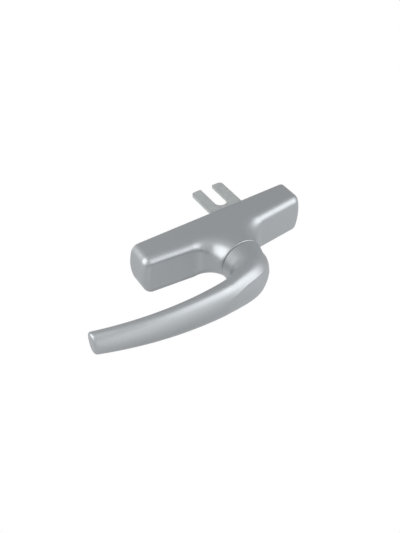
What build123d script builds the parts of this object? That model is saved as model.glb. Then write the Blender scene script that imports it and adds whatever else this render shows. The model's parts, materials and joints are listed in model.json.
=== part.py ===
from build123d import *
import math
import os

# Window handle with a drive fork, sizes in millimetres.
# Z runs up along the long body, the room side faces -Y, the mounting face lies in Y = 0.
# The spindle axis is the Y axis and the lever points down in its rest position.
# A depth is a distance in front of the mounting face, along -Y.

# Housing, outside
body_width = 28.0
fixing_pitch = 96.0
fixing_end_margin = 9.4
body_end_depth = 16.4
front_slope = 0.1
end_arc_radius = 36.4
outline_corner = 5.2
front_edge_radius = 5.0
neck_collar = 0.9
neck_blend_radius = 12.0
neck_rim_chamfer = 0.35

# Housing, inside
wall = 2.2
side_wall = 2.0
end_wall = 4.4
core_corner = 1.5
core_end_corner = 2.5
fixing_boss_radius = 4.3
fixing_tap_radius = 2.1
fixing_hole_depth = 12.0
boss_front_wall = 1.5

# Base plate and its screws
plate_thickness = 1.5
plate_recess = 0.1
plate_rim = 1.6
plate_boss_gap = 0.5
plate_corner = 1.9
plate_play = 0.12
passage_corner = 1.0
plate_screw_side = 4.1
plate_screw_end = 3.7
plate_screw_boss_radius = 2.7
plate_screw_core_radius = 1.0
plate_screw_head_radius = 2.3
plate_screw_length = 8.0
plate_screw_play = 0.25
plate_screw_thread_play = 0.04
plate_screw_tip = 0.5
head_seat_play = 0.05
cross_slot_length = 2.6
cross_slot_width = 0.5
cross_slot_depth = 0.9
rib_width = 4.0
rib_height = 3.0
rib_overlap = 0.3

# Lever bearing in the neck
spigot_radius = 7.95
running_play = 0.05
neck_rim_wall = 1.7
bush_wall = 2.0
bush_length = 8.5
bush_flange_thickness = 1.0
bush_flange_proud = 0.2
bush_flange_play = 0.2
bush_press_play = 0.02
seam_gap = 0.5
web_thickness = 2.0
web_play = 0.35
washer_width = 2.65
washer_pocket_play = 0.6
cone_height = 0.95
cone_sheet = 0.5
cone_rise = 0.45
cone_play = 0.05
thrust_thickness = 0.6
stack_play = 0.04
clip_thickness = 1.0
clip_play = 0.03
clip_groove_depth = 0.65
clip_rise = 1.45
clip_ear_radius = 1.3
clip_ear_x = 3.0
clip_ear_hole_radius = 0.55
clip_mouth = 3.2
spigot_lip = 1.07
seat_chamfer = 0.2

# Square spindle and its cross pin
square = 7.0
square_play = 0.05
square_chamfer = 0.5
spindle_cover = 2.5
spindle_end_play = 0.2
pin_radius = 1.5
pin_play = 0.02
pin_inset = 3.0
pin_end_play = 0.25
pin_chamfer = 0.3

# Gear pair
rack_room = 3.0
teeth = 18
pressure_angle = math.radians(20)
flank_play = 0.07
flank_steps = 6
gear_width = 5.4
journal_radius = 4.0
journal_end_play = 0.15
socket_floor = 0.2

# Index disc, detents and their carrier
disc_side_gap = 2.0
disc_thickness = 2.6
notch_radius = 1.6
notch_offset = 0.8
ball_radius = 1.5
ball_play = 0.08
carrier_thickness = 1.4
carrier_front_play = 0.6
carrier_side_play = 0.5
carrier_screw_gap = 0.8
carrier_corner = 1.5
carrier_hole_play = 0.5
layer_play = 0.2
block_half_width = 4.5
block_wall = 2.1
block_start_play = 0.6
block_front_rise = 0.4
block_back_rise = 1.6
pocket_play = 0.06
pocket_depth = 11.3
spring_wire = 0.225
spring_radius = 1.1
spring_turns = 6
spring_play = 0.05

# Rack slider and fork
rack_side_play = 0.1
rack_flange_thickness = 2.6
rack_screw_gap = 0.66
rack_end_margin = 3.5
fork_thickness = 2.0
fork_width = 22.8
fork_slot_width = 8.4
fork_tip = 28.6
fork_slot_bottom = 7.6
fork_root_play = 0.4
fork_outer_corner = 2.4
fork_inner_corner = 0.7
rivet_radius = 1.5
rivet_play = 0.02
rivet_end_play = 0.05
rivet_head_radius = 2.5
rivet_head_height = 0.8
rivet_head_round = 0.5
rivet_z = 7.5
fork_passage_play = 0.7

# Lever
lever_length = 103.5
elbow_rise = 6.8
elbow_drop = 8.7
elbow_inner = 7.56
elbow_outer = 19.6
elbow_hub_bulge = 0.26
elbow_hub_inset = 2.3
elbow_sharpness = 3.0
elbow_inner_sharpness = 6
elbow_width_power = 1.4
grip_root_half_width = 11.8
grip_end_half_width = 7.7
grip_end_half_depth = 4.25
grip_root_bulge = 0.08
grip_swell_length = 22.0
grip_bow = 0.72
grip_crown_drop = 14.3
grip_curve = 381.0
grip_width_power = 1.35
grip_end_round = 1.4
round_fullness = 0.5523
grip_fullness = 0.66
crease_place = 0.6
crease_end_place = 0.86
crease_spread = 0.75
crease_middle = 0.48
crease_run = 1.2
crease_fade = 0.6
crease_side_turn = math.radians(8)
crease_front_turn = math.radians(15)
crease_proud = 0.25
elbow_step = 6
grip_steps = 20
end_steps = 4
end_swing = 84

# Overlap that joins solids of one piece, and reach of a cut past the face it opens
join = 1.0

# Places that follow from the sizes above
half_body = body_width / 2
body_half_length = fixing_pitch / 2 + fixing_end_margin
neck_radius = half_body
slope_angle = math.atan(front_slope)
blend_z = -(neck_radius + neck_blend_radius)
core_half_width = half_body - side_wall
core_half_length = body_half_length - end_wall
plate_inner = plate_recess + plate_thickness
plate_half_width = half_body - plate_rim
plate_half_length = fixing_pitch / 2 - fixing_boss_radius - plate_boss_gap
plate_screw_x = plate_half_width - plate_screw_side
plate_screw_z = plate_half_length - plate_screw_end


def front_at(z):
    """Depth of the arm's front face at height z."""
    return body_end_depth + front_slope * (body_half_length - abs(z))


blend_y = -(front_at(blend_z) + neck_blend_radius / math.cos(slope_angle))
neck_reach = -blend_y + neck_collar
bush_flange_radius = neck_radius - neck_rim_wall
bush_radius = spigot_radius + running_play + bush_wall
washer_radius = spigot_radius + washer_width
clip_radius = spigot_radius + clip_rise
hub_face = neck_reach + seam_gap
web_front = neck_reach - bush_length
web_back = web_front - web_thickness
flange_front = neck_reach + bush_flange_proud
cone_front = web_back - stack_play
thrust_front = cone_front - cone_height - cone_play
thrust_back = thrust_front - thrust_thickness
groove_front = thrust_back - clip_play
groove_back = groove_front - clip_thickness - 2 * clip_play
clip_groove_radius = spigot_radius - clip_groove_depth
spigot_end = groove_back - spigot_lip

carrier_front = body_end_depth - carrier_front_play
carrier_back = carrier_front - carrier_thickness
pinion_front = carrier_back - layer_play
pinion_back = pinion_front - gear_width
rack_flange_back = plate_inner + layer_play
disc_radius = core_half_width - disc_side_gap
disc_back = carrier_back
disc_front = disc_back + disc_thickness
ball_depth = (disc_front + disc_back) / 2

spindle_front = neck_reach - spindle_cover
spindle_back = pinion_back + 2 * socket_floor
pin_depth = spindle_front - pin_inset
socket = square + 2 * square_play

pitch_radius = core_half_width - rack_room
gear_module = 2 * pitch_radius / teeth
tooth_pitch = math.pi * gear_module
addendum = gear_module
dedendum = 1.25 * gear_module
rack_rest = pitch_radius * math.pi / 2

rack_back_x = -core_half_width + rack_side_play
rack_half_length = plate_screw_z - plate_screw_boss_radius - rack_rest - rack_screw_gap
fork_outer_x = rack_back_x + rack_flange_thickness
fork_root = -(pinion_back - fork_root_play)
rivet_y = -(rack_flange_back + pinion_back) / 2

elbow_pivot_y = -(hub_face + elbow_rise)
elbow_pivot_z = -(neck_radius + elbow_drop)
elbow_inner_swell = elbow_drop - elbow_hub_bulge - elbow_inner
elbow_outer_swell = 2 * neck_radius + elbow_drop - elbow_hub_inset - elbow_outer
grip_root_swell = (elbow_outer - elbow_inner) / 2 + grip_root_bulge - grip_end_half_depth
grip_crown_y = elbow_pivot_y - (elbow_inner + elbow_outer) / 2 - grip_bow
grip_crown_z = elbow_pivot_z - grip_crown_drop
grip_end_z = -lever_length

os.makedirs("parts", exist_ok=True)


def facing(depth, x=0.0, z=0.0):
    """Plane at a depth that faces the room, with X to the right."""
    return Plane(origin=(x, -depth, z), x_dir=(1, 0, 0), z_dir=(0, -1, 0))


def across(x, y=0.0, z=0.0):
    """Plane at x that faces +X, with Z as its first direction."""
    return Plane(origin=(x, y, z), x_dir=(0, 0, 1), z_dir=(1, 0, 0))


def cylinder_y(radius, start, end, x=0, z=0, mode=Mode.ADD):
    """Cylinder along Y between two depths."""
    with BuildSketch(facing(start, x, z)) as disc:
        Circle(radius)
    extrude(disc.sketch, amount=end - start, mode=mode)


def square_hole(start, end):
    """Square hole for the spindle between two depths."""
    with BuildSketch(facing(start)) as hole:
        Rectangle(socket, socket)
    extrude(hole.sketch, amount=end - start, mode=Mode.SUBTRACT)


def blend_section(angle):
    """One section of the concave blend, in a plane that turns about the blend centre."""
    share = (angle - slope_angle) / (math.pi / 2 - slope_angle)
    corner = front_edge_radius + (neck_radius - running_play - front_edge_radius) * share
    root_reach = (-blend_y - 3 * join) / max(math.cos(angle), 1e-6)
    middle_reach = (join - blend_z) / math.sin(angle)
    deep = min(root_reach, middle_reach)
    top = neck_blend_radius
    plane = Plane(
        origin=(0, blend_y, blend_z),
        x_dir=(1, 0, 0),
        z_dir=(0, -math.sin(angle), math.cos(angle)),
    )
    with BuildSketch(plane) as section:
        with BuildLine():
            Line((-half_body, deep), (-half_body, top + corner))
            CenterArc((-half_body + corner, top + corner), corner, 180, 90)
            Line((-half_body + corner, top), (half_body - corner, top))
            CenterArc((half_body - corner, top + corner), corner, 270, 90)
            Line((half_body, top + corner), (half_body, deep))
            Line((half_body, deep), (-half_body, deep))
        make_face()
    return section.sketch


# Lower arm: rounded outline, sloping front face, round front edges
end_sag = end_arc_radius - math.sqrt(end_arc_radius**2 - half_body**2)
arm_overlap = 8 * join
with BuildPart() as arm:
    with BuildSketch(Plane.XZ):
        with BuildLine():
            Line((half_body, -body_half_length + end_sag), (half_body, arm_overlap))
            Line((half_body, arm_overlap), (-half_body, arm_overlap))
            Line((-half_body, arm_overlap), (-half_body, -body_half_length + end_sag))
            ThreePointArc(
                (-half_body, -body_half_length + end_sag),
                (0, -body_half_length),
                (half_body, -body_half_length + end_sag),
            )
        arm_outline = make_face()
        fillet(arm_outline.vertices().group_by(Axis.Y)[0], outline_corner)
    extrude(amount=body_end_depth * 2)
    split(
        bisect_by=Plane(
            origin=(0, -body_end_depth, -body_half_length),
            x_dir=(1, 0, 0),
            z_dir=(0, -1, -front_slope),
        ),
        keep=Keep.BOTTOM,
    )
    arm_front = arm.faces().sort_by(Axis.Y)[0]
    fillet(arm_front.edges(), front_edge_radius)
    split(
        bisect_by=Plane(
            origin=(0, blend_y, blend_z),
            x_dir=(1, 0, 0),
            z_dir=(0, -math.sin(slope_angle), math.cos(slope_angle)),
        ),
        keep=Keep.BOTTOM,
    )

# Concave blend from the arm into the neck
blend_steps = 6
blend_turn = math.pi / 2 - slope_angle
with BuildPart() as blend:
    loft([blend_section(slope_angle + blend_turn * step / blend_steps) for step in range(blend_steps + 1)])
    extrude(blend_section(math.pi / 2), amount=neck_collar)

# Core of the room that the mechanism takes
with BuildPart() as hollow:
    core_end_depth = front_at(core_half_length) - wall
    core_middle_depth = front_at(0) - wall
    with BuildSketch(Plane.YZ):
        with BuildLine():
            Polyline(
                (join, -core_half_length),
                (join, core_half_length),
                (-core_end_depth, core_half_length),
                (-core_middle_depth, 0),
                (-core_end_depth, -core_half_length),
                close=True,
            )
        make_face()
    extrude(amount=core_half_width, both=True)
    fillet(hollow.edges().filter_by(Axis.Y), core_end_corner)
    core_front_edges = hollow.faces().sort_by(Axis.Y)[0:2].edges()
    fillet(core_front_edges.filter_by(lambda edge: abs(edge.center().Z) > core_corner), core_corner)

screw_places = [(x * plate_screw_x, z * plate_screw_z) for z in (-1, 1) for x in (-1, 1)]
fixing_places = [-fixing_pitch / 2, fixing_pitch / 2]

with BuildPart() as housing:
    add(arm.part)
    add(blend.part)
    # Root of the blend, which reaches into the arm and stays behind its round edges
    with BuildSketch(Plane.XZ):
        with Locations((0, blend_z / 2)):
            Rectangle(body_width, -blend_z)
    extrude(amount=body_end_depth - front_edge_radius)
    mirror(about=Plane.XY)
    neck_face = housing.faces().sort_by(Axis.Y)[0]
    chamfer(neck_face.edges(), neck_rim_chamfer)
    add(hollow.part, mode=Mode.SUBTRACT)
    # Bosses for the fixing screws and the plate screws
    for fixing_z in fixing_places:
        cylinder_y(fixing_boss_radius, 0, front_at(fixing_z) - join, 0, fixing_z)
    boss_end = front_at(plate_screw_z) - boss_front_wall
    for screw_x, screw_z in screw_places:
        cylinder_y(plate_screw_boss_radius, plate_inner, boss_end, screw_x, screw_z)
        rib_x = math.copysign(core_half_width + rib_overlap - rib_width / 2, screw_x)
        with BuildSketch(facing(plate_inner, rib_x, screw_z)):
            Rectangle(rib_width, rib_height)
        extrude(amount=boss_end - plate_inner)
    # Recess for the base plate
    with BuildSketch(Plane.XZ):
        recess_width = 2 * (plate_half_width + plate_play)
        recess_length = 2 * (plate_half_length + plate_play)
        RectangleRounded(recess_width, recess_length, plate_corner + plate_play)
    extrude(amount=plate_inner, mode=Mode.SUBTRACT)
    # Bearing bore, washer pocket and web in the neck
    cylinder_y(washer_radius + washer_pocket_play, core_end_depth - join, web_back, mode=Mode.SUBTRACT)
    cylinder_y(spigot_radius + web_play, web_back, web_front, mode=Mode.SUBTRACT)
    cylinder_y(bush_radius + bush_press_play, web_front, neck_reach, mode=Mode.SUBTRACT)
    flange_seat = flange_front - bush_flange_thickness
    cylinder_y(bush_flange_radius + bush_flange_play, flange_seat, neck_reach, mode=Mode.SUBTRACT)
    for fixing_z in fixing_places:
        cylinder_y(fixing_tap_radius, 0, fixing_hole_depth, 0, fixing_z, mode=Mode.SUBTRACT)
    thread_radius = plate_screw_core_radius + plate_screw_thread_play
    thread_end = plate_screw_length + boss_front_wall
    for screw_x, screw_z in screw_places:
        cylinder_y(thread_radius, 0, thread_end, screw_x, screw_z, mode=Mode.SUBTRACT)
housing.part.label = "housing"
export_step(housing.part, "parts/housing.step")

# Lever: elbow sections turn about a pivot inside the bend, grip sections follow a curved line.
# A crease bounds the elbow's front face on both sides and fades out towards hub and grip.


def point_between(start, end, share):
    """Point on the straight line between two points."""
    return (start[0] + (end[0] - start[0]) * share, start[1] + (end[1] - start[1]) * share)


def turned(point, corner, angle, move):
    """Point turned about a corner, counter-clockwise, and then moved."""
    across_x = point[0] - corner[0]
    across_y = point[1] - corner[1]
    x = corner[0] + across_x * math.cos(angle) - across_y * math.sin(angle) + move[0]
    y = corner[1] + across_x * math.sin(angle) + across_y * math.cos(angle) + move[1]
    return (x, y)


def creased_quarter(half_width, half_depth, fullness, way):
    """Side curve and front curve of an outer quarter, which meet at the crease."""
    side = (half_width, 0)
    side_handle = (half_width, fullness * half_depth)
    crown_handle = (fullness * half_width, half_depth)
    crown = (0, half_depth)
    place = min(crease_end_place, crease_place + crease_spread * (way - crease_middle) ** 2)
    first = point_between(side, side_handle, place)
    middle = point_between(side_handle, crown_handle, place)
    last = point_between(crown_handle, crown, place)
    below = point_between(first, middle, place)
    above = point_between(middle, last, place)
    crease = point_between(below, above, place)
    strength = max(0.0, math.sin(math.pi * min(1.0, way / crease_run))) ** crease_fade
    reach = math.dist(below, above)
    outward = ((above[1] - below[1]) / reach, (below[0] - above[0]) / reach)
    move = (crease_proud * strength * outward[0], crease_proud * strength * outward[1])
    below = turned(below, crease, -crease_side_turn * strength, move)
    above = turned(above, crease, crease_front_turn * strength, move)
    crease = (crease[0] + move[0], crease[1] + move[1])
    return [side, first, below, crease], [crease, above, last, crown]


def mirrored(curve):
    """Curve on the other side of the section, drawn the other way."""
    return [(-x, y) for x, y in reversed(curve)]


def rounded_section(centre_y, centre_z, turn, half_width, half_depth, fullness, way=0.0):
    """Closed section from a round one to a squarer one, at a way along the elbow from 0 to 1."""
    plane = Plane(
        origin=(0, centre_y, centre_z),
        x_dir=(1, 0, 0),
        z_dir=(0, -math.cos(turn), -math.sin(turn)),
    )
    w = half_width
    d = half_depth
    side_curve, front_curve = creased_quarter(w, d, fullness, way)
    curves = [
        side_curve,
        front_curve,
        mirrored(front_curve),
        mirrored(side_curve),
        [(-w, 0), (-w, -fullness * d), (-fullness * w, -d), (0, -d)],
        [(0, -d), (fullness * w, -d), (w, -fullness * d), (w, 0)],
    ]
    edges = []
    for curve in curves:
        points = [plane.from_local_coords((x, y, 0)) for x, y in curve]
        edges.append(Edge.make_bezier(*points))
    return Face(Wire(edges))


def elbow_section(turn):
    """Section of the elbow after a turn from the hub towards the grip."""
    inner = elbow_inner + elbow_inner_swell * math.cos(turn) ** elbow_inner_sharpness
    outer = elbow_outer + elbow_outer_swell * math.cos(turn) ** elbow_sharpness
    middle = (inner + outer) / 2
    way = turn / (math.pi / 2)
    half_width = neck_radius - (neck_radius - grip_root_half_width) * way**elbow_width_power
    fullness = round_fullness + (grip_fullness - round_fullness) * way
    centre_y = elbow_pivot_y - middle * math.sin(turn)
    centre_z = elbow_pivot_z + middle * math.cos(turn)
    return rounded_section(centre_y, centre_z, turn, half_width, (outer - inner) / 2, fullness, way)


def grip_section(z, inset=0.0):
    """Level section of the grip at height z, drawn in by the inset."""
    share = min(1.0, (elbow_pivot_z - z) / (elbow_pivot_z - grip_end_z))
    narrowing = (grip_root_half_width - grip_end_half_width) * share**grip_width_power
    half_width = grip_root_half_width - narrowing - inset
    swell = grip_root_swell * math.exp((z - elbow_pivot_z) / grip_swell_length)
    lean = math.atan(2 * (z - grip_crown_z) / grip_curve)
    half_depth = (grip_end_half_depth + swell) / math.cos(lean) - inset
    centre_y = grip_crown_y + (z - grip_crown_z) ** 2 / grip_curve
    way = 1 + (elbow_pivot_z - z) / (elbow_outer * math.pi / 2)
    return rounded_section(centre_y, z, math.pi / 2, half_width, half_depth, grip_fullness, way)


grip_straight_end = grip_end_z + grip_end_round
grip_straight = elbow_pivot_z - grip_straight_end
lever_sections = [rounded_section(-hub_face, 0, 0, neck_radius, neck_radius, round_fullness)]
lever_sections += [elbow_section(math.radians(turn)) for turn in range(0, 91, elbow_step)]
for step in range(1, grip_steps + 1):
    lever_sections.append(grip_section(elbow_pivot_z - grip_straight * step / grip_steps))
for step in range(1, end_steps + 1):
    swing = math.radians(end_swing) * step / end_steps
    end_inset = grip_end_round * (1 - math.cos(swing))
    lever_sections.append(grip_section(grip_straight_end - grip_end_round * math.sin(swing), end_inset))

with BuildPart() as lever:
    loft(lever_sections, ruled=True)
    hub_seat = lever.faces().filter_by(Axis.Y).sort_by(Axis.Y)[-1]
    chamfer(hub_seat.edges(), seat_chamfer)
    cylinder_y(spigot_radius, spigot_end, hub_face + join)
    # Groove for the circlip
    cylinder_y(spigot_radius + join, groove_back, groove_front, mode=Mode.SUBTRACT)
    cylinder_y(clip_groove_radius, groove_back - join / 2, groove_front + join / 2)
    # Square socket for the spindle and the hole for its cross pin
    square_hole(spigot_end, spindle_front + spindle_end_play)
    with BuildSketch(across(-spigot_radius - join, -pin_depth)):
        Circle(pin_radius + pin_play)
    extrude(amount=2 * (spigot_radius + join), mode=Mode.SUBTRACT)
lever.part.label = "lever"
export_step(lever.part, "parts/lever.step")

# Bearing and retaining parts in the neck
with BuildPart() as neck_bush:
    cylinder_y(bush_radius, web_front + stack_play, flange_front - bush_flange_thickness / 2)
    cylinder_y(bush_flange_radius, flange_front - bush_flange_thickness, flange_front)
    cylinder_y(spigot_radius + running_play, web_back, hub_face, mode=Mode.SUBTRACT)
neck_bush.part.label = "neck_bush"
export_step(neck_bush.part, "parts/neck_bush.step")

with BuildPart() as cone_washer:
    cone_bore = spigot_radius + 3 * running_play
    with BuildSketch(Plane.XY):
        with BuildLine():
            Polyline(
                (cone_bore, -cone_front),
                (cone_bore, -cone_front + cone_sheet),
                (washer_radius, -cone_front + cone_rise + cone_sheet),
                (washer_radius, -cone_front + cone_rise),
                close=True,
            )
        make_face()
    revolve(axis=Axis.Y)
cone_washer.part.label = "cone_washer"
export_step(cone_washer.part, "parts/cone_washer.step")

with BuildPart() as thrust_washer:
    cylinder_y(washer_radius, thrust_back, thrust_front)
    cylinder_y(spigot_radius + 2 * running_play, thrust_back, thrust_front, mode=Mode.SUBTRACT)
thrust_washer.part.label = "thrust_washer"
export_step(thrust_washer.part, "parts/thrust_washer.step")

clip_front = groove_front - clip_play
clip_back = clip_front - clip_thickness
clip_ears = [(-clip_ear_x, -clip_radius), (clip_ear_x, -clip_radius)]
with BuildPart() as circlip:
    with BuildSketch(facing(clip_back)):
        Circle(clip_radius)
        with Locations(*clip_ears):
            Circle(clip_ear_radius)
        Circle(clip_groove_radius + running_play, mode=Mode.SUBTRACT)
        with Locations((0, -clip_radius)):
            Rectangle(clip_mouth, 2 * (clip_radius - clip_groove_radius) + join, mode=Mode.SUBTRACT)
        with Locations(*clip_ears):
            Circle(clip_ear_hole_radius, mode=Mode.SUBTRACT)
    extrude(amount=clip_thickness)
circlip.part.label = "circlip"
export_step(circlip.part, "parts/circlip.step")

# Square spindle with its cross pin
with BuildPart() as spindle:
    with BuildSketch(facing(spindle_back)):
        Rectangle(square, square)
    extrude(amount=spindle_front - spindle_back)
    chamfer(spindle.faces().filter_by(Axis.Y).edges(), square_chamfer)
    with BuildSketch(across(-square, -pin_depth)):
        Circle(pin_radius + pin_play)
    extrude(amount=2 * square, mode=Mode.SUBTRACT)
spindle.part.label = "spindle"
export_step(spindle.part, "parts/spindle.step")

pin_half = spigot_radius - pin_end_play
with BuildPart() as spindle_pin:
    with BuildSketch(across(-pin_half, -pin_depth)):
        Circle(pin_radius)
    extrude(amount=2 * pin_half)
    chamfer(spindle_pin.edges().filter_by(GeomType.CIRCLE), pin_chamfer)
spindle_pin.part.label = "spindle_pin"
export_step(spindle_pin.part, "parts/spindle_pin.step")

# Gear pair: involute pinion and straight rack, in mesh where Z = 0
tip_radius = pitch_radius + addendum
root_radius = pitch_radius - dedendum
base_radius = pitch_radius * math.cos(pressure_angle)


def roll(radius):
    """Involute angle at a radius, zero on the base circle."""
    cos_value = min(1.0, base_radius / max(radius, base_radius))
    angle = math.acos(cos_value)
    return math.tan(angle) - angle


def tooth_half_angle(radius):
    """Half the angle that a pinion tooth takes at a radius."""
    half_at_pitch = (tooth_pitch / 4 - flank_play / 2) / pitch_radius
    return half_at_pitch + roll(pitch_radius) - roll(radius)


def pinion_outline():
    """Points of all the pinion's teeth, with a gap towards the rack."""
    outline = []
    for tooth in range(teeth):
        middle = math.pi + (tooth + 0.5) * 2 * math.pi / teeth
        for flank in (-1, 1):
            for step in range(flank_steps + 1):
                rise = step if flank < 0 else flank_steps - step
                radius = root_radius + (tip_radius - root_radius) * rise / flank_steps
                angle = middle + flank * tooth_half_angle(radius)
                outline.append((radius * math.cos(angle), radius * math.sin(angle)))
    return outline


with BuildPart() as pinion:
    with BuildSketch(facing(pinion_back)):
        with BuildLine():
            Polyline(*pinion_outline(), close=True)
        make_face()
    extrude(amount=gear_width)
    cylinder_y(journal_radius, plate_recess + journal_end_play, pinion_back)
    square_hole(pinion_back + socket_floor, pinion_front)
pinion.part.label = "pinion"
export_step(pinion.part, "parts/pinion.step")

rack_tip_x = -pitch_radius + addendum
rack_root_x = -pitch_radius - dedendum
rack_top = rack_rest + rack_half_length
rack_low = rack_rest - rack_half_length


def rack_outline():
    """Points of the rack's back and teeth, one tooth at each whole pitch from Z = 0."""
    lean = math.tan(pressure_angle)
    half_tip = tooth_pitch / 4 - addendum * lean - flank_play / 2
    half_root = tooth_pitch / 4 + dedendum * lean - flank_play / 2
    first_tooth = math.ceil((rack_low + rack_end_margin) / tooth_pitch)
    last_tooth = math.floor((rack_top - rack_end_margin) / tooth_pitch)
    outline = [(rack_back_x, rack_top), (rack_back_x, rack_low), (rack_root_x, rack_low)]
    for tooth in range(first_tooth, last_tooth + 1):
        middle = tooth * tooth_pitch
        outline.append((rack_root_x, middle - half_root))
        outline.append((rack_tip_x, middle - half_tip))
        outline.append((rack_tip_x, middle + half_tip))
        outline.append((rack_root_x, middle + half_root))
    outline.append((rack_root_x, rack_top))
    return outline


rivet_places = [rack_rest - rivet_z, rack_rest + rivet_z]
with BuildPart() as rack_slider:
    with BuildSketch(facing(pinion_back)):
        with BuildLine():
            Polyline(*rack_outline(), close=True)
        make_face()
    extrude(amount=gear_width)
    # Flange that carries the fork
    with BuildSketch(facing(rack_flange_back, (rack_back_x + fork_outer_x) / 2, rack_rest)):
        Rectangle(rack_flange_thickness, 2 * rack_half_length)
    extrude(amount=pinion_back - rack_flange_back)
    for place in rivet_places:
        with BuildSketch(across(rack_back_x - join, rivet_y, place)):
            Circle(rivet_radius + rivet_play)
        extrude(amount=rack_flange_thickness + 2 * join, mode=Mode.SUBTRACT)
rack_slider.part.label = "rack_slider"
export_step(rack_slider.part, "parts/rack_slider.step")

slot_centre = fork_slot_bottom + fork_slot_width / 2
with BuildPart() as fork:
    with BuildSketch(Plane(origin=(fork_outer_x, 0, rack_rest), x_dir=(0, 1, 0), z_dir=(1, 0, 0))):
        with Locations(((fork_root + fork_tip) / 2, 0)):
            Rectangle(fork_tip - fork_root, fork_width)
        with Locations(((slot_centre + fork_tip + join) / 2, 0)):
            Rectangle(fork_tip + join - slot_centre, fork_slot_width, mode=Mode.SUBTRACT)
        with Locations((slot_centre, 0)):
            Circle(fork_slot_width / 2, mode=Mode.SUBTRACT)
        with Locations((rivet_y, -rivet_z), (rivet_y, rivet_z)):
            Circle(rivet_radius + rivet_play, mode=Mode.SUBTRACT)
    extrude(amount=fork_thickness)
    tip_edges = fork.edges().filter_by(Axis.X).group_by(Axis.Y)[-1].sort_by(Axis.Z)
    fillet([tip_edges[0], tip_edges[-1]], fork_outer_corner)
    slot_edges = fork.edges().filter_by(Axis.X).filter_by(
        lambda edge: abs(abs(edge.center().Z - rack_rest) - fork_slot_width / 2) < fork_inner_corner / 10
    )
    fillet(slot_edges.group_by(Axis.Y)[-1], fork_inner_corner)
fork.part.label = "fork"
export_step(fork.part, "parts/fork.step")

rivet_start = rack_back_x + rivet_end_play
rivet_neck = fork_outer_x + fork_thickness
for rivet_number, place in enumerate(rivet_places, start=1):
    with BuildPart() as rivet:
        with BuildSketch(across(rivet_start, rivet_y, place)):
            Circle(rivet_radius)
        extrude(amount=rivet_neck - rivet_start)
        with BuildSketch(across(rivet_neck, rivet_y, place)):
            Circle(rivet_head_radius)
        extrude(amount=rivet_head_height)
        fillet(rivet.faces().sort_by(Axis.X)[-1].edges(), rivet_head_round)
    rivet.part.label = f"fork_rivet_{rivet_number}"
    export_step(rivet.part, f"parts/fork_rivet_{rivet_number}.step")

# Index disc with a notch at each quarter turn
with BuildPart() as index_disc:
    cylinder_y(disc_radius, disc_back, disc_front)
    notch_reach = disc_radius - notch_offset + notch_radius
    for quarter in range(4):
        notch_x = notch_reach * math.cos(quarter * math.pi / 2)
        notch_z = notch_reach * math.sin(quarter * math.pi / 2)
        cylinder_y(notch_radius, disc_back, disc_front, notch_x, notch_z, mode=Mode.SUBTRACT)
    square_hole(disc_back, disc_front)
index_disc.part.label = "index_disc"
export_step(index_disc.part, "parts/index_disc.step")

# Detent carrier: guide plate for the rack with two blocks for ball and spring
block_start = pitch_radius + addendum + block_start_play
pocket_start = disc_radius - join
pocket_end = disc_radius + pocket_depth
block_end = pocket_end + block_wall
carrier_width = 2 * (core_half_width - carrier_side_play)
carrier_length = 2 * (plate_screw_z - plate_screw_boss_radius - carrier_screw_gap)
with BuildPart() as detent_carrier:
    with BuildSketch(facing(carrier_back)):
        RectangleRounded(carrier_width, carrier_length, carrier_corner)
    extrude(amount=carrier_thickness)
    block_back = carrier_back - block_back_rise
    block_front = disc_front + block_front_rise
    for side in (-1, 1):
        with BuildSketch(facing(block_back, 0, side * (block_start + block_end) / 2)):
            Rectangle(2 * block_half_width, block_end - block_start)
        extrude(amount=block_front - block_back)
    hole_radius = disc_radius + carrier_hole_play
    cylinder_y(hole_radius, block_back, block_front, mode=Mode.SUBTRACT)
    for side in (-1, 1):
        pocket_plane = Plane(
            origin=(0, -ball_depth, side * pocket_start),
            x_dir=(1, 0, 0),
            z_dir=(0, 0, side),
        )
        with BuildSketch(pocket_plane):
            Circle(ball_radius + pocket_play)
        extrude(amount=pocket_end - pocket_start, mode=Mode.SUBTRACT)
detent_carrier.part.label = "detent_carrier"
export_step(detent_carrier.part, "parts/detent_carrier.step")

ball_z = disc_radius + ball_play + ball_radius
spring_start = ball_z + math.sqrt(ball_radius**2 - spring_radius**2) + spring_play
spring_length = pocket_end - spring_play - spring_start - 2 * spring_wire
for detent_number, side in enumerate((-1, 1), start=1):
    with BuildPart(facing(ball_depth, 0, side * ball_z)) as ball:
        Sphere(ball_radius)
    ball.part.label = f"detent_ball_{detent_number}"
    export_step(ball.part, f"parts/detent_ball_{detent_number}.step")
    coil_start = (0, -ball_depth, side * (spring_start + spring_wire))
    with BuildPart() as spring:
        with BuildLine() as coil:
            Helix(
                spring_length / spring_turns,
                spring_length,
                spring_radius,
                center=coil_start,
                direction=(0, 0, side),
            )
        with BuildSketch(Plane(origin=coil.line @ 0, z_dir=coil.line % 0)):
            Circle(spring_wire)
        sweep(is_frenet=True)
    spring.part.label = f"detent_spring_{detent_number}"
    export_step(spring.part, f"parts/detent_spring_{detent_number}.step")

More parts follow.
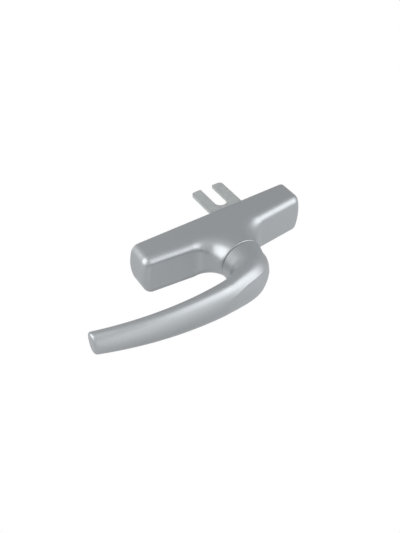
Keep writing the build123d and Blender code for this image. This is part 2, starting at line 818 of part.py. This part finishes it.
# Steel base plate that closes the back, with a passage for the fork and its travel
passage_width = fork_thickness + 2 * fork_passage_play
passage_length = 2 * (rack_rest + fork_width / 2 + fork_passage_play)
screw_hole_radius = plate_screw_core_radius + plate_screw_play
head_height = plate_screw_head_radius - plate_screw_core_radius
with BuildPart() as base_plate:
    with BuildSketch(facing(plate_recess)):
        RectangleRounded(2 * plate_half_width, 2 * plate_half_length, plate_corner)
        with Locations((fork_outer_x + fork_thickness / 2, 0)):
            RectangleRounded(passage_width, passage_length, passage_corner, mode=Mode.SUBTRACT)
        Circle(journal_radius + running_play, mode=Mode.SUBTRACT)
    extrude(amount=plate_thickness)
    for screw_x, screw_z in screw_places:
        cylinder_y(screw_hole_radius, plate_recess, plate_inner, screw_x, screw_z, mode=Mode.SUBTRACT)
    screw_rims = base_plate.edges().filter_by(GeomType.CIRCLE).group_by(Axis.Y)[-1]
    screw_rims = screw_rims.filter_by(lambda rim: abs(rim.radius - screw_hole_radius) < running_play)
    chamfer(screw_rims, head_height + running_play)
base_plate.part.label = "base_plate"
export_step(base_plate.part, "parts/base_plate.step")

head_top = plate_recess + head_seat_play
for screw_number, (screw_x, screw_z) in enumerate(screw_places, start=1):
    with BuildPart() as base_screw:
        with BuildSketch(Plane(origin=(screw_x, 0, screw_z), x_dir=(1, 0, 0), z_dir=(0, 0, 1))):
            with BuildLine():
                Polyline(
                    (0, -head_top),
                    (plate_screw_head_radius, -head_top),
                    (plate_screw_core_radius, -head_top - head_height),
                    (plate_screw_core_radius, -plate_screw_length + plate_screw_tip),
                    (plate_screw_core_radius - plate_screw_tip, -plate_screw_length),
                    (0, -plate_screw_length),
                    close=True,
                )
            make_face()
        revolve(axis=Axis(origin=(screw_x, 0, screw_z), direction=(0, 1, 0)))
        with BuildSketch(facing(head_top, screw_x, screw_z)):
            Rectangle(cross_slot_length, cross_slot_width)
            Rectangle(cross_slot_width, cross_slot_length)
        extrude(amount=cross_slot_depth, mode=Mode.SUBTRACT)
    base_screw.part.label = f"base_screw_{screw_number}"
    export_step(base_screw.part, f"parts/base_screw_{screw_number}.step")
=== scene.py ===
import json
import math

import bpy
from mathutils import Matrix, Vector

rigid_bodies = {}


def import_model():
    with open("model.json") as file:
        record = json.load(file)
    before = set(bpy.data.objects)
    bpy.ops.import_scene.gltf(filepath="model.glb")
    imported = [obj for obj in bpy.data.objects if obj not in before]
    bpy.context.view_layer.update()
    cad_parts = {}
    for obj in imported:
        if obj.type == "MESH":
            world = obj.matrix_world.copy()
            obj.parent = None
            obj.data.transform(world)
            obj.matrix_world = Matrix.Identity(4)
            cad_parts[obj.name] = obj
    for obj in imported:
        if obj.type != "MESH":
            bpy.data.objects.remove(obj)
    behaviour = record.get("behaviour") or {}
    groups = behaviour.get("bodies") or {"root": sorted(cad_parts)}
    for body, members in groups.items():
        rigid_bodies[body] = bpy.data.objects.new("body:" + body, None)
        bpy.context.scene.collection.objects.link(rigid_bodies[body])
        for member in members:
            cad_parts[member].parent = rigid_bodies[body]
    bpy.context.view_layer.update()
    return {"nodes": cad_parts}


bl_info = {
    "name": "Window Handle Finish",
    "version": (1, 0, 0),
    "blender": (4, 5, 0),
    "location": "View3D > Sidebar > Window Handle",
    "description": "Dresses the window handle's solids with their finishes and sets up the studio",
    "category": "Object",
}

for start_object in list(bpy.data.objects):
    bpy.data.objects.remove(start_object)

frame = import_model()

# Solids by finish
CASTING_NODES = ("housing", "lever")
PLATED_NODES = ("fork", "base_plate", "fork_rivet_1", "fork_rivet_2")
RAW_CAST_NODES = ("rack_slider", "pinion", "index_disc")
SPRING_NODES = (
    "cone_washer",
    "thrust_washer",
    "circlip",
    "detent_ball_1",
    "detent_ball_2",
    "detent_spring_1",
    "detent_spring_2",
)
BAR_NODES = ("spindle", "spindle_pin")
SCREW_NODES = ("base_screw_1", "base_screw_2", "base_screw_3", "base_screw_4")
BUSH_NODES = ("neck_bush",)
CARRIER_NODES = ("detent_carrier",)

# Points nearer than this are one point, and edges that turn more than this stay sharp
FACET_MERGE = 1e-6
SHARP_ANGLE = math.radians(14)


def colour_prop(name, description, default):
    """A colour that can be set in the sidebar."""
    return bpy.props.FloatVectorProperty(
        name=name,
        description=description,
        subtype="COLOR",
        size=3,
        min=0.0,
        max=1.0,
        default=default,
    )


def length_prop(name, description, default):
    """A length in metres that can be set in the sidebar."""
    return bpy.props.FloatProperty(
        name=name,
        description=description,
        default=default,
        min=0.0,
        subtype="DISTANCE",
        unit="LENGTH",
    )


def share_prop(name, description, default):
    """A share from 0 to 1 that can be set in the sidebar."""
    return bpy.props.FloatProperty(
        name=name,
        description=description,
        default=default,
        min=0.0,
        max=1.0,
        subtype="FACTOR",
    )


def strength_prop(name, description, default):
    """A light strength that can be set in the sidebar."""
    return bpy.props.FloatProperty(name=name, description=description, default=default, min=0.0)


def power_prop(name, description, default):
    """A lamp's power in watts that can be set in the sidebar."""
    return bpy.props.FloatProperty(
        name=name,
        description=description,
        default=default,
        min=0.0,
        unit="POWER",
    )


def direction_prop(name, description, default):
    """A direction that can be set in the sidebar."""
    return bpy.props.FloatVectorProperty(
        name=name,
        description=description,
        size=3,
        subtype="DIRECTION",
        default=default,
    )


class HandleFinish(bpy.types.PropertyGroup):
    """Colours and surface sizes of the handle's finishes."""

    silver: colour_prop("Satin silver", "Colour of the coated castings", (0.44, 0.46, 0.47))
    silver_roughness: share_prop("Silver roughness", "How matt the coated castings are", 0.36)
    silver_metal: share_prop("Silver metal share", "How much the coat reflects as metal", 0.72)
    coat_grain: length_prop("Coat grain", "Size of the fine grain in the silver coat", 0.0005)
    plating: colour_prop("Zinc plating", "Colour of the fork, base plate and rivets", (0.66, 0.68, 0.67))
    plating_roughness: share_prop("Plating roughness", "How matt the zinc plating is", 0.48)
    raw_cast: colour_prop("Raw zinc", "Colour of the castings inside", (0.4, 0.41, 0.42))
    spring_steel: colour_prop("Spring steel", "Colour of washers, balls and springs", (0.3, 0.3, 0.31))
    bar_steel: colour_prop("Bar steel", "Colour of the square spindle and its pin", (0.5, 0.51, 0.52))
    screw_steel: colour_prop("Screw steel", "Colour of the base plate's screws", (0.55, 0.56, 0.57))
    dark_nylon: colour_prop("Dark nylon", "Colour of the neck bush", (0.035, 0.036, 0.04))
    pale_nylon: colour_prop("Pale nylon", "Colour of the detent carrier", (0.72, 0.71, 0.67))


class HandleStudio(bpy.types.PropertyGroup):
    """Camera, lamps, background and floor."""

    lens: bpy.props.FloatProperty(
        name="Lens",
        description="Focal length of the camera",
        default=47.22,
        unit="CAMERA",
    )
    sensor: bpy.props.FloatProperty(
        name="Sensor",
        description="Long side of the camera's sensor",
        default=36.0,
        unit="CAMERA",
    )
    place: bpy.props.FloatVectorProperty(
        name="Camera place",
        description="Where the camera stands",
        size=3,
        subtype="TRANSLATION",
        unit="LENGTH",
        default=(-0.284918, -0.279975, -0.177810),
    )
    right: direction_prop(
        "Camera right",
        "Direction to the right in the picture",
        (0.018918, -0.531145, 0.847069),
    )
    up: direction_prop(
        "Camera up",
        "Direction upwards in the picture",
        (-0.723744, 0.577250, 0.378122),
    )
    floor_drop: length_prop("Floor drop", "How far the floor lies below the spindle", 0.5)
    floor_size: length_prop("Floor size", "Length of the floor's sides", 40.0)
    floor_colour: colour_prop("Floor colour", "Colour of the plain floor", (0.72, 0.72, 0.72))
    general_light: strength_prop("General light", "Level of the light from all round", 1.0)
    right_glow: strength_prop("Right glow", "Extra light from the right of the camera", 1.95)
    right_side: direction_prop("Right side", "Where the right glow comes from", (-0.3432, -0.7487, 0.5653))
    left_power: power_prop("Left lamp", "Power of the soft lamp to the left of the camera", 1.15)
    left_side: direction_prop("Left side", "Where the left lamp stands", (-0.4724, 0.0874, -0.8791))
    left_distance: length_prop("Left distance", "How far away the left lamp stands", 0.38)
    left_size: length_prop("Left size", "Length of the left lamp's sides", 0.42)
    front_power: power_prop("Front lamp", "Power of the soft lamp in front of the handle", 0.6)
    front_side: direction_prop("Front side", "Where the front lamp stands", (0.34, -0.94, -0.05))
    front_distance: length_prop("Front distance", "How far away the front lamp stands", 0.7)
    front_size: length_prop("Front size", "Length of the front lamp's sides", 0.6)


# Materials


def new_material(name):
    """An empty node material with its shader, and the tools to fill it."""
    material = bpy.data.materials.new(name)
    material.use_nodes = True
    tree = material.node_tree
    shader = tree.nodes["Principled BSDF"]
    return material, tree, shader


def add_noise(tree, scale, detail):
    """Noise in object coordinates, with grains of about 1 / scale metres."""
    place = tree.nodes.new("ShaderNodeTexCoord")
    noise = tree.nodes.new("ShaderNodeTexNoise")
    noise.inputs["Scale"].default_value = scale
    noise.inputs["Detail"].default_value = detail
    noise.inputs["Roughness"].default_value = 0.5
    tree.links.new(place.outputs["Object"], noise.inputs["Vector"])
    return noise.outputs["Fac"]


def add_range(tree, value, low=0.0, high=1.0, start=0.3, end=0.7):
    """Maps a value to a range, from the middle part of a noise where no start and end are given."""
    ranged = tree.nodes.new("ShaderNodeMapRange")
    ranged.inputs["From Min"].default_value = start
    ranged.inputs["From Max"].default_value = end
    ranged.inputs["To Min"].default_value = low
    ranged.inputs["To Max"].default_value = high
    tree.links.new(value, ranged.inputs["Value"])
    return ranged.outputs["Result"]


def set_tint(tree, shader, value, colour, spread):
    """Gives a shader a colour that varies a little lighter and darker with a noise value."""
    mix = tree.nodes.new("ShaderNodeMix")
    mix.data_type = "RGBA"
    mix.inputs["A"].default_value = (*[c * (1 - spread) for c in colour], 1)
    mix.inputs["B"].default_value = (*[min(1, c * (1 + spread)) for c in colour], 1)
    tree.links.new(value, mix.inputs["Factor"])
    tree.links.new(mix.outputs["Result"], shader.inputs["Base Color"])


def set_roughness(tree, shader, value, middle, smoother, rougher):
    """Gives a shader a roughness that varies about its middle with a noise value."""
    rough = add_range(tree, value, middle - smoother, middle + rougher)
    tree.links.new(rough, shader.inputs["Roughness"])


def add_bump(tree, height, distance, strength, below=None):
    """Bump of a depth in metres from a height value, on top of another bump where one is given."""
    bump = tree.nodes.new("ShaderNodeBump")
    bump.inputs["Distance"].default_value = distance
    bump.inputs["Strength"].default_value = strength
    tree.links.new(height, bump.inputs["Height"])
    if below is not None:
        tree.links.new(below, bump.inputs["Normal"])
    return bump.outputs["Normal"]


def silver_coat(finish):
    """Satin silver coat on a die casting: fine metallic grain, faint unevenness."""
    material, tree, shader = new_material("satin_silver")
    grain = add_noise(tree, scale=1 / finish.coat_grain, detail=2.0)
    cloud = add_noise(tree, scale=55.0, detail=3.0)
    set_tint(tree, shader, add_range(tree, grain), finish.silver, spread=0.045)
    set_roughness(tree, shader, cloud, finish.silver_roughness, smoother=0.03, rougher=0.03)
    uneven = add_bump(tree, cloud, distance=0.00012, strength=0.5)
    fine = add_bump(tree, grain, distance=0.00001, strength=0.5, below=uneven)
    tree.links.new(fine, shader.inputs["Normal"])
    shader.inputs["Metallic"].default_value = finish.silver_metal
    return material


def zinc_plating(finish):
    """Matt zinc plating on punched plate: mottled grey with fine rolling marks."""
    material, tree, shader = new_material("zinc_plate")
    mottle = add_noise(tree, scale=420.0, detail=4.0)
    grain = add_noise(tree, scale=3500.0, detail=2.0)
    set_tint(tree, shader, add_range(tree, mottle), finish.plating, spread=0.07)
    set_roughness(tree, shader, mottle, finish.plating_roughness, smoother=0.06, rougher=0.06)
    tree.links.new(add_bump(tree, grain, distance=0.00002, strength=0.6), shader.inputs["Normal"])
    shader.inputs["Metallic"].default_value = 0.9
    return material


def plain_metal(name, colour, roughness, scale, depth):
    """Metal with grain of a given scale: raw castings, drawn bar, springs and screws."""
    material, tree, shader = new_material(name)
    grain = add_noise(tree, scale, detail=4.0)
    set_tint(tree, shader, add_range(tree, grain), colour, spread=0.06)
    set_roughness(tree, shader, grain, roughness, smoother=0.05, rougher=0.07)
    tree.links.new(add_bump(tree, grain, depth, strength=0.7), shader.inputs["Normal"])
    shader.inputs["Metallic"].default_value = 1.0
    return material


def moulded_nylon(name, colour, roughness):
    """Moulded nylon with a fine spark-eroded texture."""
    material, tree, shader = new_material(name)
    grain = add_noise(tree, scale=2600.0, detail=2.0)
    cloud = add_noise(tree, scale=160.0, detail=3.0)
    set_tint(tree, shader, add_range(tree, cloud), colour, spread=0.05)
    set_roughness(tree, shader, grain, roughness, smoother=0.05, rougher=0.08)
    tree.links.new(add_bump(tree, grain, distance=0.00003, strength=0.7), shader.inputs["Normal"])
    return material


def finish_nodes(names, material):
    """Gives the solids with these names one material."""
    for name in names:
        node = frame["nodes"][name]
        for slot in node.material_slots:
            slot.material = material


def even_shading():
    """Geometry nodes that shade across narrow facets evenly and keep real edges sharp."""
    group = bpy.data.node_groups.new("even_shading", "GeometryNodeTree")
    group.interface.new_socket("Geometry", in_out="INPUT", socket_type="NodeSocketGeometry")
    group.interface.new_socket("Geometry", in_out="OUTPUT", socket_type="NodeSocketGeometry")
    source = group.nodes.new("NodeGroupInput")
    target = group.nodes.new("NodeGroupOutput")
    merge = group.nodes.new("GeometryNodeMergeByDistance")
    merge.inputs["Distance"].default_value = FACET_MERGE
    angle = group.nodes.new("GeometryNodeInputMeshEdgeAngle")
    compare = group.nodes.new("FunctionNodeCompare")
    compare.data_type = "FLOAT"
    compare.operation = "GREATER_THAN"
    compare.inputs["B"].default_value = SHARP_ANGLE
    normal = group.nodes.new("GeometryNodeSetMeshNormal")
    normal.mode = "SHARPNESS"
    normal.inputs["Remove Custom"].default_value = True
    group.links.new(source.outputs["Geometry"], merge.inputs["Geometry"])
    group.links.new(merge.outputs["Geometry"], normal.inputs["Mesh"])
    group.links.new(angle.outputs["Unsigned Angle"], compare.inputs["A"])
    group.links.new(compare.outputs["Result"], normal.inputs["Edge Sharpness"])
    group.links.new(normal.outputs["Mesh"], target.inputs["Geometry"])
    return group


class HANDLE_OT_castings(bpy.types.Operator):
    """Gives the housing and the lever their satin silver coat, and the lever even shading."""

    bl_idname = "handle.castings"
    bl_label = "Housing and lever"

    def execute(self, context):
        finish_nodes(CASTING_NODES, silver_coat(context.scene.handle_finish))
        smoother = frame["nodes"]["lever"].modifiers.new("even_shading", "NODES")
        smoother.node_group = even_shading()
        return {"FINISHED"}


class HANDLE_OT_fork(bpy.types.Operator):
    """Gives the drive fork, the base plate and the rivets their zinc plating."""

    bl_idname = "handle.fork"
    bl_label = "Fork and base plate"

    def execute(self, context):
        finish = context.scene.handle_finish
        finish_nodes(PLATED_NODES, zinc_plating(finish))
        screw = plain_metal(
            "screw_steel",
            finish.screw_steel,
            roughness=0.32,
            scale=900.0,
            depth=0.00001,
        )
        finish_nodes(SCREW_NODES, screw)
        return {"FINISHED"}


class HANDLE_OT_mechanism(bpy.types.Operator):
    """Gives the gear, the spindle, the washers, the detents and the nylon parts their finishes."""

    bl_idname = "handle.mechanism"
    bl_label = "Mechanism"

    def execute(self, context):
        finish = context.scene.handle_finish
        raw_cast = plain_metal(
            "zinc_cast",
            finish.raw_cast,
            roughness=0.5,
            scale=700.0,
            depth=0.00004,
        )
        spring = plain_metal(
            "spring_steel",
            finish.spring_steel,
            roughness=0.3,
            scale=1500.0,
            depth=0.00001,
        )
        bar = plain_metal(
            "steel_bar",
            finish.bar_steel,
            roughness=0.35,
            scale=1100.0,
            depth=0.00001,
        )
        finish_nodes(RAW_CAST_NODES, raw_cast)
        finish_nodes(SPRING_NODES, spring)
        finish_nodes(BAR_NODES, bar)
        finish_nodes(BUSH_NODES, moulded_nylon("dark_nylon", finish.dark_nylon, roughness=0.55))
        finish_nodes(CARRIER_NODES, moulded_nylon("pale_nylon", finish.pale_nylon, roughness=0.45))
        return {"FINISHED"}


# Studio

# Tint of the studio's light
LIGHT_COLOUR = (0.97, 0.985, 1.0, 1)

# Level of the general light by how far a direction points up in the picture, and of the glow by how
# near a direction is to its centre
GENERAL_STOPS = ((-1.0, 0.42), (-0.8, 0.44), (-0.5, 0.74), (-0.1, 0.68), (0.55, 0.57), (0.95, 0.49))
GLOW_STOPS = ((0.72, 0.0), (0.87, 0.4), (0.94, 0.85), (0.985, 1.0))

# Point in the handle's middle that the lamps look at
LAMP_TARGET = (0.0, -0.03, -0.02)


def add_dot(tree, vector, direction):
    """How far a vector points in a direction, from -1 to 1."""
    dot = tree.nodes.new("ShaderNodeVectorMath")
    dot.operation = "DOT_PRODUCT"
    dot.inputs[1].default_value = Vector(direction).normalized()
    tree.links.new(vector, dot.inputs[0])
    return dot.outputs["Value"]


def add_ramp(tree, value, stops):
    """Smooth grey ramp through pairs of a value from -1 to 1 and a level from 0 to 1."""
    shifted = add_range(tree, value, start=-1, end=1)
    ramp = tree.nodes.new("ShaderNodeValToRGB")
    ramp.color_ramp.interpolation = "EASE"
    elements = ramp.color_ramp.elements
    while len(elements) < len(stops):
        elements.new(0.5)
    for element, (place, level) in zip(elements, stops):
        element.position = (place + 1) / 2
        element.color = (level, level, level, 1)
    tree.links.new(shifted, ramp.inputs["Fac"])
    return ramp.outputs["Color"]


def add_math(tree, operation, first, second):
    """One arithmetic step on values or numbers."""
    math_node = tree.nodes.new("ShaderNodeMath")
    math_node.operation = operation
    for socket, value in zip(math_node.inputs, (first, second)):
        if isinstance(value, (int, float)):
            socket.default_value = value
        else:
            tree.links.new(value, socket)
    return math_node.outputs["Value"]


def studio_world(studio):
    """White background for the camera, soft light from all round and a brighter glow on the right."""
    world = bpy.data.worlds.new("soft_studio")
    world.use_nodes = True
    tree = world.node_tree
    tree.nodes.clear()
    output = tree.nodes.new("ShaderNodeOutputWorld")
    place = tree.nodes.new("ShaderNodeTexCoord")
    direction = place.outputs["Generated"]
    height = add_dot(tree, direction, studio.up)
    general = add_ramp(tree, height, GENERAL_STOPS)
    spot = add_ramp(tree, add_dot(tree, direction, studio.right_side), GLOW_STOPS)
    level = add_math(tree, "ADD", general, add_math(tree, "MULTIPLY", spot, studio.right_glow))
    light = tree.nodes.new("ShaderNodeBackground")
    light.inputs["Color"].default_value = LIGHT_COLOUR
    tree.links.new(add_math(tree, "MULTIPLY", level, studio.general_light), light.inputs["Strength"])
    white = tree.nodes.new("ShaderNodeBackground")
    white.inputs["Color"].default_value = (1, 1, 1, 1)
    white.inputs["Strength"].default_value = 1.0
    ray = tree.nodes.new("ShaderNodeLightPath")
    choice = tree.nodes.new("ShaderNodeMixShader")
    tree.links.new(ray.outputs["Is Camera Ray"], choice.inputs["Fac"])
    tree.links.new(light.outputs["Background"], choice.inputs[1])
    tree.links.new(white.outputs["Background"], choice.inputs[2])
    tree.links.new(choice.outputs["Shader"], output.inputs["Surface"])
    return world


def softbox(name, direction, distance, size, power):
    """A large square lamp that lights the handle from a direction."""
    lamp = bpy.data.lights.new(name, "AREA")
    lamp.shape = "SQUARE"
    lamp.size = size
    lamp.energy = power
    box = bpy.data.objects.new(name, lamp)
    away = Vector(direction).normalized()
    box.location = Vector(LAMP_TARGET) + away * distance
    box.rotation_mode = "QUATERNION"
    box.rotation_quaternion = away.to_track_quat("Z", "Y")
    box.visible_camera = False
    bpy.context.scene.collection.objects.link(box)


class HANDLE_OT_stage(bpy.types.Operator):
    """Sets up the camera, the soft lamps, the white background and the plain floor."""

    bl_idname = "handle.stage"
    bl_label = "Camera, light and floor"

    def execute(self, context):
        scene = context.scene
        studio = scene.handle_studio

        camera = bpy.data.cameras.new("product_camera")
        camera.lens = studio.lens
        camera.sensor_width = studio.sensor
        camera.sensor_fit = "AUTO"
        camera.clip_start = 0.01
        camera.clip_end = 50
        stand = bpy.data.objects.new("product_camera", camera)
        scene.collection.objects.link(stand)
        right = Vector(studio.right).normalized()
        up = Vector(studio.up)
        up = (up - up.dot(right) * right).normalized()
        turn = Matrix((right, up, right.cross(up))).transposed()
        stand.matrix_world = Matrix.Translation(Vector(studio.place)) @ turn.to_4x4()
        scene.camera = stand

        scene.world = studio_world(studio)
        softbox("left_softbox", studio.left_side, studio.left_distance, studio.left_size, studio.left_power)
        softbox(
            "front_softbox",
            studio.front_side,
            studio.front_distance,
            studio.front_size,
            studio.front_power,
        )

        half = studio.floor_size / 2
        corners = [(-half, -half, 0), (half, -half, 0), (half, half, 0), (-half, half, 0)]
        mesh = bpy.data.meshes.new("studio_floor")
        mesh.from_pydata(corners, [], [(0, 1, 2, 3)])
        floor = bpy.data.objects.new("studio_floor", mesh)
        floor.location = (0, 0, -studio.floor_drop)
        scene.collection.objects.link(floor)
        material, tree, shader = new_material("floor_paint")
        speck = add_noise(tree, scale=40.0, detail=2.0)
        set_tint(tree, shader, speck, studio.floor_colour, spread=0.01)
        shader.inputs["Roughness"].default_value = 0.8
        mesh.materials.append(material)

        scene.view_settings.view_transform = "Standard"
        return {"FINISHED"}


class HANDLE_PT_panel(bpy.types.Panel):
    """Lists the handle's sizes, colours and building steps."""

    bl_idname = "HANDLE_PT_panel"
    bl_label = "Window Handle"
    bl_space_type = "VIEW_3D"
    bl_region_type = "UI"
    bl_category = "Window Handle"

    def draw(self, context):
        column = self.layout.column()
        for group in (context.scene.handle_finish, context.scene.handle_studio):
            for setting in group.__annotations__:
                column.prop(group, setting)
        for operator in OPERATORS:
            column.operator(operator.bl_idname)


OPERATORS = (HANDLE_OT_castings, HANDLE_OT_fork, HANDLE_OT_mechanism, HANDLE_OT_stage)
CLASSES = (HandleFinish, HandleStudio, *OPERATORS, HANDLE_PT_panel)


def register():
    for cls in CLASSES:
        bpy.utils.register_class(cls)
    bpy.types.Scene.handle_finish = bpy.props.PointerProperty(type=HandleFinish)
    bpy.types.Scene.handle_studio = bpy.props.PointerProperty(type=HandleStudio)


def unregister():
    del bpy.types.Scene.handle_studio
    del bpy.types.Scene.handle_finish
    for cls in reversed(CLASSES):
        bpy.utils.unregister_class(cls)


def main():
    register()
    bpy.ops.handle.castings()
    bpy.ops.handle.fork()
    bpy.ops.handle.mechanism()
    bpy.ops.handle.stage()
    bpy.context.view_layer.update()


if __name__ == "__main__":
    main()
